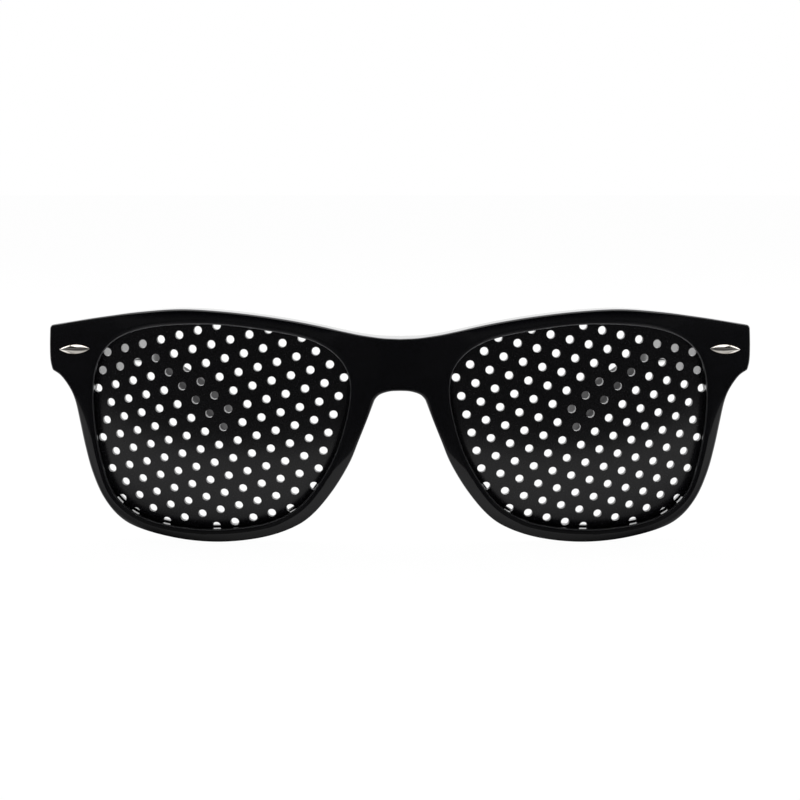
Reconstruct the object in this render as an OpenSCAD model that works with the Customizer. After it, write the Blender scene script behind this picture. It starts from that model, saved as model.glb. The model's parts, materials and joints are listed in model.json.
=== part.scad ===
// Pinhole glasses: a moulded front that holds two perforated domed lenses,
// and two temples on three-barrel hinges. Millimetres, X to the wearer's left,
// Y from the front to the ear tips, Z up. The glasses stand on the rims and tips.

/* [Lenses and openings] */
// Width of one lens opening between the rim's inner edges
lens_w = 53.2; // [48:0.1:58]
// Height of one lens opening
lens_h = 43.2; // [38:0.1:48]
// Distance between the two lens openings, across the bridge
bridge_w = 20.7; // [17:0.1:25]
// Radius of the sphere that a lens is cut from, a six-base curve
lens_r = 88; // [80:1:110]
// How far the sphere's centre lies nasal of the lens's centre
sphere_inset = 4.85; // [2:0.05:6]
// Thickness of a lens
lens_t = 1.1; // [0.8:0.1:1.6]
// How deep a lens sits in the groove of the rim
groove_d = 1.5; // [1.2:0.1:1.9]
// Play between the edge of a lens and its groove
lens_play = 0.06; // [0.03:0.01:0.12]

/* [Pinholes] */
// Diameter of a pinhole
hole_d = 1.7; // [1.2:0.05:1.9]
// Distance between pinholes along a row
hole_pitch = 4.01; // [3.4:0.01:5]
// Distance between rows
row_pitch = 3.4; // [3:0.05:4.4]
// Angle at which the rows rise toward the nose
row_tilt = 14.5; // [0:0.1:20]
// How far each row slips toward the temple from a half-pitch stagger
row_drift = 0.05; // [0:0.01:0.2]
// How far temporal of the lens's centre the middle pinhole lies
hole_shift_x = 3.45; // [0:0.05:4]
// How far below the lens's centre the middle pinhole lies
hole_shift_z = 0.7; // [0:0.1:2]
// How far past the opening's edge the centre of a pinhole may lie
hole_overlap = 0.25; // [0:0.05:0.5]

/* [Front] */
// Width of the rim around a lens opening
rim_w = 2.9; // [2.5:0.1:3.5]
// Depth of the front lip, from the rim's face to the lens
front_lip = 2.0; // [1.5:0.1:2.6]
// Depth of the rear lip behind the lens
rear_lip = 1.5; // [1.2:0.1:2.2]
// How far an end piece reaches past its rim
end_reach = 6.8; // [5.5:0.1:9]
// How far an end piece's corner lies below the top of the rims
end_fall = 4.5; // [3.5:0.1:6]
// Height of an end piece at its outer edge
end_h = 9.2; // [8:0.1:10]
// How far the bridge's top dips below the top of the rims
brow_dip = 6.4; // [5:0.1:8]
// Height of the nose arch's top above the lens's centre
arch_z = 7.2; // [5:0.1:9]
// Half width of the bridge's flat facet
facet_w = 8; // [6:0.1:9]
// How far the bridge's face lies behind the foremost point of the rims
facet_back = 4.6; // [4.3:0.05:4.9]
// Angle at which the bridge's facet leans back toward its top
facet_lean = 3.9; // [3:0.1:5]
// Thickness of the bridge
bridge_t = 5.8; // [5:0.1:6.5]
// Half the width of a nose pad
pad_r = 1.5; // [1.2:0.1:1.7]
// How far a nose pad stands out behind the rim
pad_out = 3.4; // [2.5:0.1:5]

/* [Temples] */
// Length of a temple from the end piece to the ear tip
temple_len = 137; // [130:0.5:150]
// Height of a temple at the end piece
temple_h = 10.4; // [9.5:0.1:11.5]
// Greatest height of a temple, a third of the way back
shoulder_h = 12.2; // [10.5:0.1:13]
// Height of a temple's waist, in front of the ear bend
waist_h = 6.8; // [6:0.1:8.5]
// How far the ear tip drops below the temple's top line
tip_drop = 28; // [24:0.1:32]
// Distance of the ear bend from the end piece
bend_at = 96; // [88:0.5:104]
// Thickness of a temple at the end piece
temple_t = 3.5; // [3.2:0.1:4]
// Thickness of a temple at its tip
tip_t = 2.6; // [2.2:0.1:3.2]
// Distance between the outer faces of the tips
tip_spread = 100.8; // [92:0.2:112]
// How far a temple's outer face lies inside the end piece's at the ear bend
bow_in = 3.6; // [2:0.1:6]
// Radius of the rounded edges of a temple
edge_r = 0.7; // [0.4:0.05:1]
// Angle between a temple's top line and the front's square direction
pantoscopic = 10.8; // [6:0.1:13]

/* [Hinges] */
// Distance of a hinge's middle below the temple's top line
hinge_drop = 6; // [5:0.1:7]
// Radius of a hinge barrel
barrel_r = 1.3; // [1.2:0.05:1.5]
// Height of the front leaf's two barrels, each
outer_barrel_h = 1.7; // [1.4:0.1:2]
// Height of the temple leaf's middle barrel
mid_barrel_h = 2.2; // [1.8:0.1:2.6]
// Gap between neighbouring barrels
barrel_gap = 0.06; // [0.04:0.01:0.1]
// Radius of the hinge screw's shank
screw_r = 0.6; // [0.5:0.05:0.7]
// Play around the shank in the middle barrel
screw_play = 0.05; // [0.03:0.01:0.08]
// Radius of the hinge screw's head
head_r = 1.15; // [1:0.05:1.25]
// Height of the hinge screw's head
head_h = 0.7; // [0.6:0.05:0.9]
// Thickness of a hinge leaf
leaf_t = 0.9; // [0.8:0.05:1.1]
// Width of the front leaf
front_leaf_w = 4.2; // [4:0.1:4.6]
// Length of the temple leaf
temple_leaf_l = 11; // [9:0.5:14]
// Clearance of leaves and barrels in the plastic
leaf_play = 0.15; // [0.1:0.01:0.2]
// Radius of a leaf screw's shank
leaf_screw_r = 0.5; // [0.4:0.05:0.6]
// Length of a leaf screw
leaf_screw_l = 2.2; // [1.8:0.1:2.4]

/* [Studs] */
// Length of the pointed stud on an end piece
stud_l = 7.5; // [6:0.1:8]
// Height of the stud
stud_h = 2.1; // [1.8:0.05:2.6]
// How far the stud's ridge stands above the plastic
stud_out = 0.7; // [0.5:0.05:0.9]
// Depth of the stud's seat
stud_seat = 0.5; // [0.4:0.05:0.7]
// Distance between the stud's two pins
pin_pitch = 2.8; // [2.2:0.1:3]
// Radius of a pin
pin_r = 0.45; // [0.35:0.05:0.5]
// Width of the flat along the stud's ridge
ridge_w = 0.2; // [0.1:0.05:0.4]

/* [Hidden] */

plastic = [0.06, 0.06, 0.07];
lens_black = [0.12, 0.12, 0.13];
steel = [0.75, 0.73, 0.68];
fine = 48;
far = 60;
steps = 5;
// Plays: of plates in their beds, of screws and pins in holes, and between hinge and plastic
fit = 0.05;
hole_play = 0.03;
gap = 0.1;

// Places in the front's own frame: Y = 0 at the foremost point of the rims
lens_x = bridge_w / 2 + lens_w / 2;
sphere_x = lens_x - sphere_inset;
face_r = lens_r + front_lip;
back_r = lens_r - lens_t - rear_lip;
rim_hw = lens_w / 2 + rim_w;
rim_hh = lens_h / 2 + rim_w;
block_wall = 0.5;
block_w = temple_t + gap + front_leaf_w + block_wall;
end_x = lens_x + rim_hw + end_reach;
end_top = rim_hh - end_fall;
end_low = end_top - end_h;

// The lens's outline in half widths and half heights, from the temporal side up
lens_shape = [[1, 0.12], [0.98, 0.53], [0.85, 0.8], [0.57, 0.95], [0.11, 1],
    [-0.33, 0.95], [-0.73, 0.83], [-0.95, 0.61], [-1, 0.3], [-0.9, -0.2],
    [-0.73, -0.58], [-0.55, -0.81], [-0.28, -0.95], [0.17, -1], [0.6, -0.92],
    [0.85, -0.7], [0.95, -0.35]];

function spline(a, b, c, d, t) =
    0.5 * (2 * b + (c - a) * t + (2 * a - 5 * b + 4 * c - d) * t * t
    + (3 * b - a - 3 * c + d) * t * t * t);
function closed_curve(pts) = [for (i = [0:len(pts) - 1], j = [0:steps - 1])
    spline(pts[(i + len(pts) - 1) % len(pts)], pts[i], pts[(i + 1) % len(pts)],
    pts[(i + 2) % len(pts)], j / steps)];
function open_curve(pts, n = 4) = [for (i = [0:len(pts) - 2], j = [0:n - 1])
    spline(i == 0 ? 2 * pts[0] - pts[1] : pts[i - 1], pts[i], pts[i + 1],
    i == len(pts) - 2 ? 2 * pts[i + 1] - pts[i] : pts[i + 2], j / n)];
function unit(v) = v / norm(v);
function mirrored(pts) = [for (i = [len(pts) - 1:-1:0]) [-pts[i][0], pts[i][1]]];

// The lens's outline grown by a width on every side
function grown(pts, by) = [for (i = [0:len(pts) - 1])
    let (d = unit(pts[(i + 1) % len(pts)] - pts[(i + len(pts) - 1) % len(pts)]))
    pts[i] + by * [d[1], -d[0]]];
opening = closed_curve([for (p = lens_shape)
    [lens_x + p[0] * lens_w / 2, p[1] * lens_h / 2]]);

// Half of the front's outer outline: brow, end piece, then rim and nose arch
function rim_at(u, v) = [lens_x + u * rim_hw, v * rim_hh];
function brow_at(u, v) = [u * bridge_w, rim_hh - v * brow_dip];
function end_at(u, v) = [end_x - u * end_reach, end_top - v * end_h];
function arch_at(u, v) = [u * bridge_w, arch_z - v * bridge_w];
corner = end_at(0.06, 0);
brow = open_curve([brow_at(0, 1.023), brow_at(0.195, 0.99), brow_at(0.39, 0.883),
    brow_at(0.59, 0.727), rim_at(-0.56, 0.888), rim_at(-0.29, 0.943), rim_at(-0.01, 0.98),
    rim_at(0.27, 0.992), rim_at(0.55, 0.962), rim_at(0.85, 0.906), corner]);
end_edge = open_curve([end_at(0.007, 0.045), end_at(0, 0.45), end_at(0.02, 0.79),
    end_at(0.09, 1)], 2);
rim_low = open_curve([end_at(0.09, 1), end_at(0.38, 1.12), end_at(0.67, 1.38),
    rim_at(1.04, 0.2), rim_at(1.006, 0), rim_at(0.972, -0.21), rim_at(0.93, -0.42),
    rim_at(0.859, -0.636), rim_at(0.748, -0.81), rim_at(0.6, -0.908), rim_at(0.31, -0.986),
    rim_at(0.02, -1.006), rim_at(-0.268, -0.965), rim_at(-0.486, -0.88), rim_at(-0.628, -0.768),
    rim_at(-0.773, -0.562), rim_at(-0.894, -0.322), rim_at(-0.965, -0.116),
    rim_at(-1.03, 0.08), arch_at(0.25, 0.082)]);
arch = open_curve([arch_at(0.25, 0.082), arch_at(0.2, 0.036), arch_at(0.1, 0.006),
    arch_at(0, 0)]);
half_outline = concat(brow, [corner], end_edge, rim_low, arch);
outline = concat(half_outline, [[0, arch_z]], mirrored([for (i = [1:len(half_outline) - 1])
    half_outline[i]]));

// Temple frame: Y = 0 at the end piece's mating face, Z = 0 at the top line. The face
// lies a little behind the shell's back, and the end piece stands just proud of the temple
mate_land = 0.6;
mate_step = 0.15;
mate_back = cos(pantoscopic) * (face_r - sqrt(back_r * back_r - end_top * end_top
    - (end_x - sphere_x) * (end_x - sphere_x))) - sin(pantoscopic) * end_top + mate_land;
mate_up = (sin(pantoscopic) * mate_back + end_top) / cos(pantoscopic) - mate_step;
edge_in = end_x - temple_t;
axis_x = edge_in - leaf_play - barrel_r;
axis_y = barrel_r + 2 * gap;
hinge_z = -hinge_drop;
knuckles_h = 2 * outer_barrel_h + mid_barrel_h + 2 * barrel_gap;
leaf_x = edge_in - gap - front_leaf_w / 2;

// A temple is a loft. Each row names a place on its top line and one on its lower line, how
// far back (0 at the hinge, 1 at the bend, 2 at the tip) and how far below the straight top
past = temple_len - bend_at;
function mix(a, b, t) = a + (b - a) * t;
function back_by(u) = u < 1 ? u * bend_at : bend_at + (u - 1) * past;
function arm_row(u, top, v, low) = [back_by(u), -top, back_by(v), -low];
function bend_row(u, top, v, low) = arm_row(u, top * tip_drop, v, low * tip_drop);
arm_rows = [arm_row(0, 0, 0, temple_h), arm_row(0.14, 0, 0.14, mix(temple_h, shoulder_h, 0.45)),
    arm_row(0.3, 0, 0.3, shoulder_h), arm_row(0.47, 0, 0.47, shoulder_h),
    arm_row(0.57, 0, 0.57, mix(shoulder_h, waist_h, 0.35)),
    arm_row(0.66, 0, 0.66, mix(shoulder_h, waist_h, 0.76)), arm_row(0.77, 0, 0.76, waist_h),
    arm_row(0.92, tip_drop * 0.005, 0.88, waist_h), arm_row(1.05, tip_drop * 0.06, 0.97, waist_h),
    bend_row(1.22, 0.168, 1.122, 0.296), bend_row(1.378, 0.268, 1.268, 0.404),
    bend_row(1.55, 0.371, 1.415, 0.543), bend_row(1.695, 0.468, 1.561, 0.686),
    bend_row(1.812, 0.561, 1.683, 0.814), bend_row(1.902, 0.654, 1.785, 0.929),
    bend_row(1.971, 0.75, 1.859, 0.986), bend_row(1.995, 0.829, 1.912, 1),
    bend_row(1.99, 0.893, 1.956, 0.964)];
arm = concat(open_curve(arm_rows, 3), [arm_rows[len(arm_rows) - 1]]);
arm_side = [for (s = arm, k = [0, 2]) [s[k], s[k + 1]]];

// From above: how far back, the share of the way in from the bend to the tip, then the
// share of the way from the thickness at the hinge to the thickness at the tip
bend_out = end_x - bow_in;
tip_out = tip_spread / 2;
plan_rows = [for (r = [[0.7, -0.052, 0.1], [0.958, 0, 0.55], [1.073, 0.068, 0.55],
    [1.227, 0.214, 0.55], [1.378, 0.385, 0.55], [1.549, 0.589, 0.55], [1.695, 0.75, 0.55],
    [1.805, 0.859, 0.65], [1.9, 0.948, 0.9], [2, 1, 1]])
    [back_by(r[0]), mix(bend_out, tip_out, r[1]), mix(temple_t, tip_t, r[2])]];
plan = concat([[0, end_x, temple_t]], open_curve(plan_rows, 4), [plan_rows[len(plan_rows) - 1]]);
outer_line = [for (q = plan) [q[0], q[1]]];
thick_line = [for (q = plan) [q[0], q[2]]];

// Rest: the glasses tip back until the rims and the tips stand on one level
function face_y(p) = face_r - sqrt(face_r * face_r
    - (abs(p[0]) - sphere_x) * (abs(p[0]) - sphere_x) - p[1] * p[1]);
function to_temple(y, z) = [cos(pantoscopic) * y - sin(pantoscopic) * z - mate_back,
    sin(pantoscopic) * y + cos(pantoscopic) * z - mate_up];
function level(q, a) = q[1] * cos(a) - q[0] * sin(a);
function lowest(pts, a) = let (z = [for (q = pts) level(q, a)])
    pts[search(min(z), z)[0]];
rim_points = [for (p = half_outline) to_temple(face_y(p), p[1])];
function rest_angle(a, n) = n == 0 ? a :
    let (r = lowest(rim_points, a), t = lowest(arm_side, a))
    rest_angle(atan2(t[1] - r[1], t[0] - r[0]), n - 1);
rest_a = rest_angle(pantoscopic * 0.66, 4);
rest_z = -level(lowest(arm_side, rest_a), rest_a);
front_points = concat(rim_points, [for (p = opening) to_temple(face_y(p), p[1])]);
front_point = min([for (q = front_points) q[0] * cos(rest_a) + q[1] * sin(rest_a)]);
tip_point = max([for (q = arm_side) q[0] * cos(rest_a) + q[1] * sin(rest_a)]);
rest_y = -(front_point + tip_point) / 2;

module at_temple() { translate([0, rest_y, rest_z]) rotate([-rest_a, 0, 0]) children(); }
module at_front() {
    at_temple() translate([0, -mate_back, -mate_up]) rotate([pantoscopic, 0, 0]) children();
}
module side(s) { mirror([s < 0 ? 1 : 0, 0, 0]) children(); }
// A flat outline standing in the X-Z plane and running back along Y
module upright(pts, from, depth) {
    translate([0, from + depth, 0]) rotate([90, 0, 0]) linear_extrude(depth) polygon(pts);
}
module face_sphere(r) { translate([sphere_x, face_r, 0]) sphere(r, $fn = 180); }

// Rim shells on the lens's curve, the bridge between them and the hinge blocks
module rim_half() {
    intersection() {
        difference() {
            face_sphere(face_r);
            face_sphere(back_r);
        }
        translate([facet_w * 0.4, -1, -far]) cube([far * 2, far, far * 2]);
    }
}
// The bridge's face is flat and its back is round, so that it runs out into the shells
function back_y(p) = face_r - sqrt(back_r * back_r - (p[0] - sphere_x) * (p[0] - sphere_x)
    - p[1] * p[1]);
bridge_rise = facet_back + bridge_t - back_y([facet_w, 0]) + 2 * gap;
bridge_back_r = (facet_w * facet_w + bridge_rise * bridge_rise) / (2 * bridge_rise);
module bridge_block() {
    translate([0, facet_back, 0]) rotate([-facet_lean, 0, 0]) intersection() {
        translate([-facet_w, 0, -rim_hh]) cube([facet_w * 2, far, rim_hh * 2]);
        translate([0, bridge_t - bridge_back_r, -far])
            cylinder(far * 2, r = bridge_back_r, $fn = 96);
    }
}
module to_mate() { rotate([-pantoscopic, 0, 0]) translate([0, mate_back, mate_up]) children(); }
// A loft through sections that all have the same number of points
module loft(sections) {
    n = len(sections);
    m = len(sections[0]);
    polyhedron([for (s = sections, p = s) p], concat([[for (i = [m - 1:-1:0]) i]],
        [for (k = [0:n - 2], i = [0:m - 1], t = [0, 1]) let (a = k * m + i, b = k * m + (i + 1) % m)
        t == 0 ? [a, b, b + m] : [a, b + m, a + m]], [[for (i = [0:m - 1]) (n - 1) * m + i]]));
}
// A moulded nose pad: a round ridge behind the nasal rim, sunk in at both ends
pad_sink = 0.5;
pad_inset = 0.25;
pad_line = open_curve([concat(rim_at(-1, 0), -0.1), concat(rim_at(-0.965, -0.116), 0.55),
    concat(rim_at(-0.894, -0.322), 1), concat(rim_at(-0.773, -0.562), 0.85),
    concat(rim_at(-0.66, -0.72), -0.1)], 5);
function pad_section(k) = let (p = pad_line[k], d = pad_line[k + 1] - pad_line[k - 1],
    side = unit([-d[1], d[0]]), top = p[2] * pad_out + pad_sink)
    [for (a = [0:20:180]) let (c = [p[0], p[1]] + side * (pad_inset + pad_r * (1 + cos(a))))
    [c[0], back_y(c) + top * sin(a) - pad_sink, c[1]]];
module pad() { loft([for (k = [1:len(pad_line) - 2]) pad_section(k)]); }
module lens_seat() {
    intersection() {
        upright(grown(opening, groove_d + lens_play), -1, far);
        difference() {
            face_sphere(lens_r + lens_play);
            face_sphere(lens_r - lens_t - lens_play);
        }
    }
}
// The thick part of an end piece, a little lower than the temple, with one in two draft on
// its nasal and lower sides
block_low = temple_h + 0.4;
module hinge_block() {
    deep = block_w + 1;
    intersection() {
        translate([0, 0, -far]) linear_extrude(far * 2) polygon([[end_x - block_w, 0],
            [end_x + 1, 0], [end_x + 1, -deep], [end_x - block_w - deep / 2, -deep]]);
        rotate([90, 0, 90]) linear_extrude(far * 2) polygon([[0, temple_h / 2],
            [0, -block_low], [-deep, -block_low - deep / 2], [-deep, temple_h / 2]]);
    }
}
module front_half() {
    difference() {
        union() {
            intersection() {
                union() {
                    rim_half();
                    intersection() {
                        to_mate() hinge_block();
                        face_sphere(face_r);
                    }
                }
                upright(outline, -1, far);
                to_mate() translate([-far, -far, -far * 2]) cube([far * 4, far, far * 4]);
            }
            pad();
        }
        upright(opening, -2, far);
        lens_seat();
        to_mate() leaf_pocket();
        stud_place() stud_body(fit, fit);
        to_mate() stud_pins(hole_play);
    }
}

module front_frame() {
    color(plastic) at_front() {
        side(1) front_half();
        side(-1) front_half();
        intersection() {
            bridge_block();
            upright(outline, -1, far);
        }
    }
}

// The domed lens: a spherical shell cut to the groove and drilled straight through
function inside(p, pts) = len([for (i = [0:len(pts) - 1])
    let (a = pts[i], b = pts[(i + 1) % len(pts)])
    if ((a[1] > p[1]) != (b[1] > p[1])
        && p[0] < a[0] + (b[0] - a[0]) * (p[1] - a[1]) / (b[1] - a[1])) 1]) % 2 == 1;
hole_field = grown(opening, hole_overlap);
hole_mid = [lens_x + hole_shift_x, -hole_shift_z];
hole_yaw = asin((hole_mid[0] - sphere_x) / lens_r);
reach = ceil(lens_w / row_pitch);
holes = [for (j = [-reach:reach], i = [-reach:reach])
    let (u = (i + (abs(j) % 2) / 2) * hole_pitch - j * row_drift, v = j * row_pitch,
        p = hole_mid + [v * sin(row_tilt) - u * cos(row_tilt), u * sin(row_tilt) + v * cos(row_tilt)])
    if (inside(p, hole_field)) p];

module pinhole_lens() {
    color(lens_black) at_front() difference() {
        intersection() {
            difference() {
                face_sphere(lens_r);
                face_sphere(lens_r - lens_t);
            }
            upright(grown(opening, groove_d), 0, far);
        }
        translate([hole_mid[0], far / 2, hole_mid[1]]) rotate([0, 0, hole_yaw])
            rotate([90, 0, 0]) linear_extrude(far) for (p = holes)
                translate(p - hole_mid) circle(d = hole_d, $fn = 32);
    }
}

// The stud: a pointed oval with a ridge along it, on two pins through the end piece
function stud_z(z, n) = n == 0 ? z :
    stud_z((hinge_z + mate_up - sin(pantoscopic) * face_y([leaf_x, z])) / cos(pantoscopic), n - 1);
stud_c = [leaf_x, stud_z(end_top, 4)];
stud_yaw = asin((leaf_x - sphere_x) / face_r);
stud_pitch = asin(stud_c[1] / face_r);
module stud_place() {
    translate([stud_c[0], face_y(stud_c), stud_c[1]])
        rotate([-stud_pitch, 0, stud_yaw]) children();
}
function oval_r(l, h) = (l * l / 4 + h * h / 4) / h;
module stud_body(grow, under) {
    r = oval_r(stud_l + 2 * grow, stud_h + 2 * grow);
    rise = r - stud_h / 2 - grow;
    rotate([90, 0, 0]) translate([0, 0, -stud_seat - under]) linear_extrude(stud_seat + stud_out + under)
        intersection() {
            translate([0, -rise]) circle(r, $fn = 96);
            translate([0, rise]) circle(r, $fn = 96);
        }
}
pin_l = 12;
module stud_pins(grow) {
    for (s = [-1, 1]) translate([leaf_x + s * pin_pitch / 2, 0, hinge_z])
        rotate([90, 0, 0]) cylinder(pin_l, r = pin_r + grow, $fn = 24);
}
module stud() {
    color(steel) {
        at_front() stud_place() intersection() {
            stud_body(0, 0);
            rotate([90, 0, 90]) linear_extrude(far, center = true)
                polygon([[stud_seat, -stud_h], [stud_seat, stud_h], [ridge_w / 2, stud_h / 2],
                [-stud_out, ridge_w / 2], [-stud_out, -ridge_w / 2], [ridge_w / 2, -stud_h / 2]]);
        }
        at_front() intersection() {
            face_sphere(face_r - stud_seat / 2);
            to_mate() translate([0, -fit, 0]) stud_pins(0);
        }
    }
}

// Hinge leaves: barrels on the axis, necks to plates that lie in the plastic
low_z = hinge_z - knuckles_h / 2;
mid_z = low_z + outer_barrel_h + barrel_gap;
top_z = mid_z + mid_barrel_h + barrel_gap;
module leaf_pocket() {
    translate([leaf_x - front_leaf_w / 2 - fit, -leaf_t - fit, low_z - fit])
        cube([front_leaf_w + 2 * fit, leaf_t + 1, knuckles_h + 2 * fit]);
}
module front_leaf() {
    color(steel) at_temple() difference() {
        union() {
            translate([leaf_x - front_leaf_w / 2, -leaf_t, low_z])
                cube([front_leaf_w, leaf_t, knuckles_h]);
            for (z = [low_z, top_z]) {
                translate([axis_x, axis_y, z]) cylinder(outer_barrel_h, r = barrel_r, $fn = fine);
                translate([axis_x - barrel_r, -leaf_t / 2, z])
                    cube([barrel_r * 2, leaf_t / 2 + axis_y, outer_barrel_h]);
            }
        }
        translate([axis_x, axis_y, low_z - 1])
            cylinder(knuckles_h + 2, r = screw_r + hole_play, $fn = fine);
        stud_pins(hole_play);
    }
}
slot_w = 0.3;
module hinge_screw() {
    color(steel) at_temple() translate([axis_x, axis_y, 0]) difference() {
        union() {
            translate([0, 0, low_z - slot_w])
                cylinder(knuckles_h + slot_w + fit, r = screw_r, $fn = fine);
            translate([0, 0, low_z + knuckles_h + hole_play])
                cylinder(head_h, r = head_r, $fn = fine);
        }
        translate([-head_r - 1, -slot_w / 2, low_z + knuckles_h + head_h / 2])
            cube([head_r * 2 + 2, slot_w, head_h]);
    }
}
leaf_back = axis_y + barrel_r - gap;
leaf_high = knuckles_h * 0.84;
leaf_low = hinge_z - leaf_high / 2;
module temple_leaf() {
    color(steel) at_temple() difference() {
        union() {
            translate([edge_in, leaf_back, leaf_low]) cube([leaf_t, temple_leaf_l, leaf_high]);
            translate([axis_x, axis_y, mid_z]) cylinder(mid_barrel_h, r = barrel_r, $fn = fine);
            translate([axis_x, axis_y - barrel_r, mid_z])
                cube([edge_in + leaf_t - axis_x, barrel_r * 2, mid_barrel_h]);
            translate([edge_in, axis_y - barrel_r, mid_z])
                cube([leaf_t, leaf_back + barrel_r, mid_barrel_h]);
        }
        translate([axis_x, axis_y, mid_z - 1])
            cylinder(mid_barrel_h + 2, r = screw_r + screw_play, $fn = fine);
        leaf_screw_places() cylinder(leaf_screw_l, r = leaf_screw_r + hole_play, $fn = 24);
    }
}
module leaf_screw_places() {
    for (k = [0.3, 0.78]) translate([edge_in - hole_play, leaf_back + k * temple_leaf_l, hinge_z])
        rotate([0, 90, 0]) children();
}
leaf_head_h = 0.45;
module leaf_screws() {
    color(steel) at_temple() leaf_screw_places() difference() {
        union() {
            cylinder(leaf_screw_l, r = leaf_screw_r, $fn = 24);
            translate([0, 0, -leaf_head_h]) cylinder(leaf_head_h, r = leaf_screw_r * 1.8, $fn = 32);
        }
        translate([-slot_w / 2, -head_r * 2, -leaf_head_h * 3 / 2])
            cube([slot_w, head_r * 4, leaf_head_h]);
    }
}

// The temple: rounded sections from the top line to the lower line, with the leaf's bed cut in
function edge_at(y) = edge_r * min(1, 0.35 + y / 10);
function arm_section(s) = let (top = [s[0], s[1]], low = [s[2], s[3]], long = norm(low - top),
    r = min(edge_at(s[0]), long * 0.45))
    [for (k = [0:3], a = [0, 45, 90]) let (turn = 90 * k + a,
        p = mix(top, low, ((k < 2 ? r : long - r) - r * sin(turn)) / long),
        x = lookup(p[0], outer_line) - (k == 0 || k == 3 ? r : lookup(p[0], thick_line) - r))
    [x + r * cos(turn), p[0], p[1]]];
module temple() {
    color(plastic) at_temple() difference() {
        loft([for (s = arm) arm_section(s)]);
        translate([edge_in - temple_t, leaf_back - fit, leaf_low - fit])
            cube([temple_t + leaf_t + fit, temple_leaf_l + 2 * fit, leaf_high + 2 * fit]);
        translate([edge_in - temple_t, -1, mid_z - leaf_play])
            cube([temple_t + leaf_t + fit, leaf_back + 2, mid_barrel_h + 2 * leaf_play]);
        leaf_screw_places() cylinder(leaf_screw_l + gap, r = leaf_screw_r + hole_play, $fn = 24);
        translate([0, -far, -far]) cube([far * 2, far + fit, far * 2]);
    }
}

front_frame();
side(-1) pinhole_lens();  // right_pinhole_lens
side(1) pinhole_lens();  // left_pinhole_lens
side(-1) stud();  // right_stud
side(1) stud();  // left_stud
side(-1) front_leaf();  // right_front_leaf
side(1) front_leaf();  // left_front_leaf
side(-1) hinge_screw();  // right_hinge_screw
side(1) hinge_screw();  // left_hinge_screw
side(-1) temple();  // right_temple
side(1) temple();  // left_temple
side(-1) temple_leaf();  // right_temple_leaf
side(1) temple_leaf();  // left_temple_leaf
side(-1) leaf_screws();  // right_leaf_screws
side(1) leaf_screws();  // left_leaf_screws
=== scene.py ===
import json
import math

import bmesh
import bpy
import numpy as np
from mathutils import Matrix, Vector
from mathutils.geometry import delaunay_2d_cdt


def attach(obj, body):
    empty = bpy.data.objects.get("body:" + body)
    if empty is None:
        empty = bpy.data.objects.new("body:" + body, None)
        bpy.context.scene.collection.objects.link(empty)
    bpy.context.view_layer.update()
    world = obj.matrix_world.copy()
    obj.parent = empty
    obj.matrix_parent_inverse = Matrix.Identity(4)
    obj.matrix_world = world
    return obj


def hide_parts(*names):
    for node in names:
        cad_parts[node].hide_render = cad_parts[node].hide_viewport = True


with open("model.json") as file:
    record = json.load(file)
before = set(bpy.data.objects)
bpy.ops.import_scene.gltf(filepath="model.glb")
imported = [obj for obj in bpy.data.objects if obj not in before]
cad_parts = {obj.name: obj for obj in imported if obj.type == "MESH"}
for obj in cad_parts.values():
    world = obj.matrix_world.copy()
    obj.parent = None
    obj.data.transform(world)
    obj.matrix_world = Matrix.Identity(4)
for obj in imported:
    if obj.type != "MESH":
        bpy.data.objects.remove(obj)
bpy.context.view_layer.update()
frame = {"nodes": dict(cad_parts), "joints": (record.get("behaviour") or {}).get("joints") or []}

# The place of the front and the temples
# The glasses stand open on the rims and the tips, so the front and the temples lean
# together. The left hinge's axis and place tell how far and where.
MM = 0.001
hinge = {j["name"]: j for j in frame["joints"]}["left_fold"]
LEAN = math.atan2(hinge["axis"][1], hinge["axis"][2])
HINGE_BACK, HINGE_DROP = 1.5, 6.0
REST_Y = hinge["pos_m"][1] / MM - HINGE_BACK * math.cos(LEAN) + HINGE_DROP * math.sin(LEAN)
REST_Z = hinge["pos_m"][2] / MM + HINGE_BACK * math.sin(LEAN) + HINGE_DROP * math.cos(LEAN)


def with_temples(points):
    """Temple millimetres to row metres: turned down by LEAN about X, then moved to the rest."""
    x, y, z = np.moveaxis(np.asarray(points, float), -1, 0)
    c, s = math.cos(LEAN), math.sin(LEAN)
    return MM * np.stack([x, REST_Y + c * y + s * z, REST_Z - s * y + c * z], -1)


TILT = math.radians(10.8)
LENS_W, LENS_H, BRIDGE_W, RIM_W = 53.2, 43.2, 20.7, 2.9
LENS_X = (BRIDGE_W + LENS_W) / 2
LENS_R, LENS_T, FRONT_LIP, REAR_LIP, SPHERE_INSET = 88.0, 1.1, 2.0, 1.5, 4.85
SPHERE_X = LENS_X - SPHERE_INSET
FACE_R, BACK_R = LENS_R + FRONT_LIP, LENS_R - LENS_T - REAR_LIP
RIM_HW, RIM_HH = LENS_W / 2 + RIM_W, LENS_H / 2 + RIM_W
END_REACH, END_H, END_FALL = 6.8, 9.2, 4.5
END_X, END_TOP = LENS_X + RIM_HW + END_REACH, RIM_HH - END_FALL
END_LOW = END_TOP - END_H
# The temple's front face lies MATE_SPARE behind the end piece's shell, and its top line
# MATE_STEP below the end piece's corner
MATE_SPARE, MATE_STEP = 0.6, 0.15
MATE_BACK = (math.cos(TILT) * (FACE_R - math.sqrt(BACK_R ** 2 - END_TOP ** 2
             - (END_X - SPHERE_X) ** 2)) - math.sin(TILT) * END_TOP + MATE_SPARE)
MATE_UP = (math.sin(TILT) * MATE_BACK + END_TOP) / math.cos(TILT) - MATE_STEP


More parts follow.
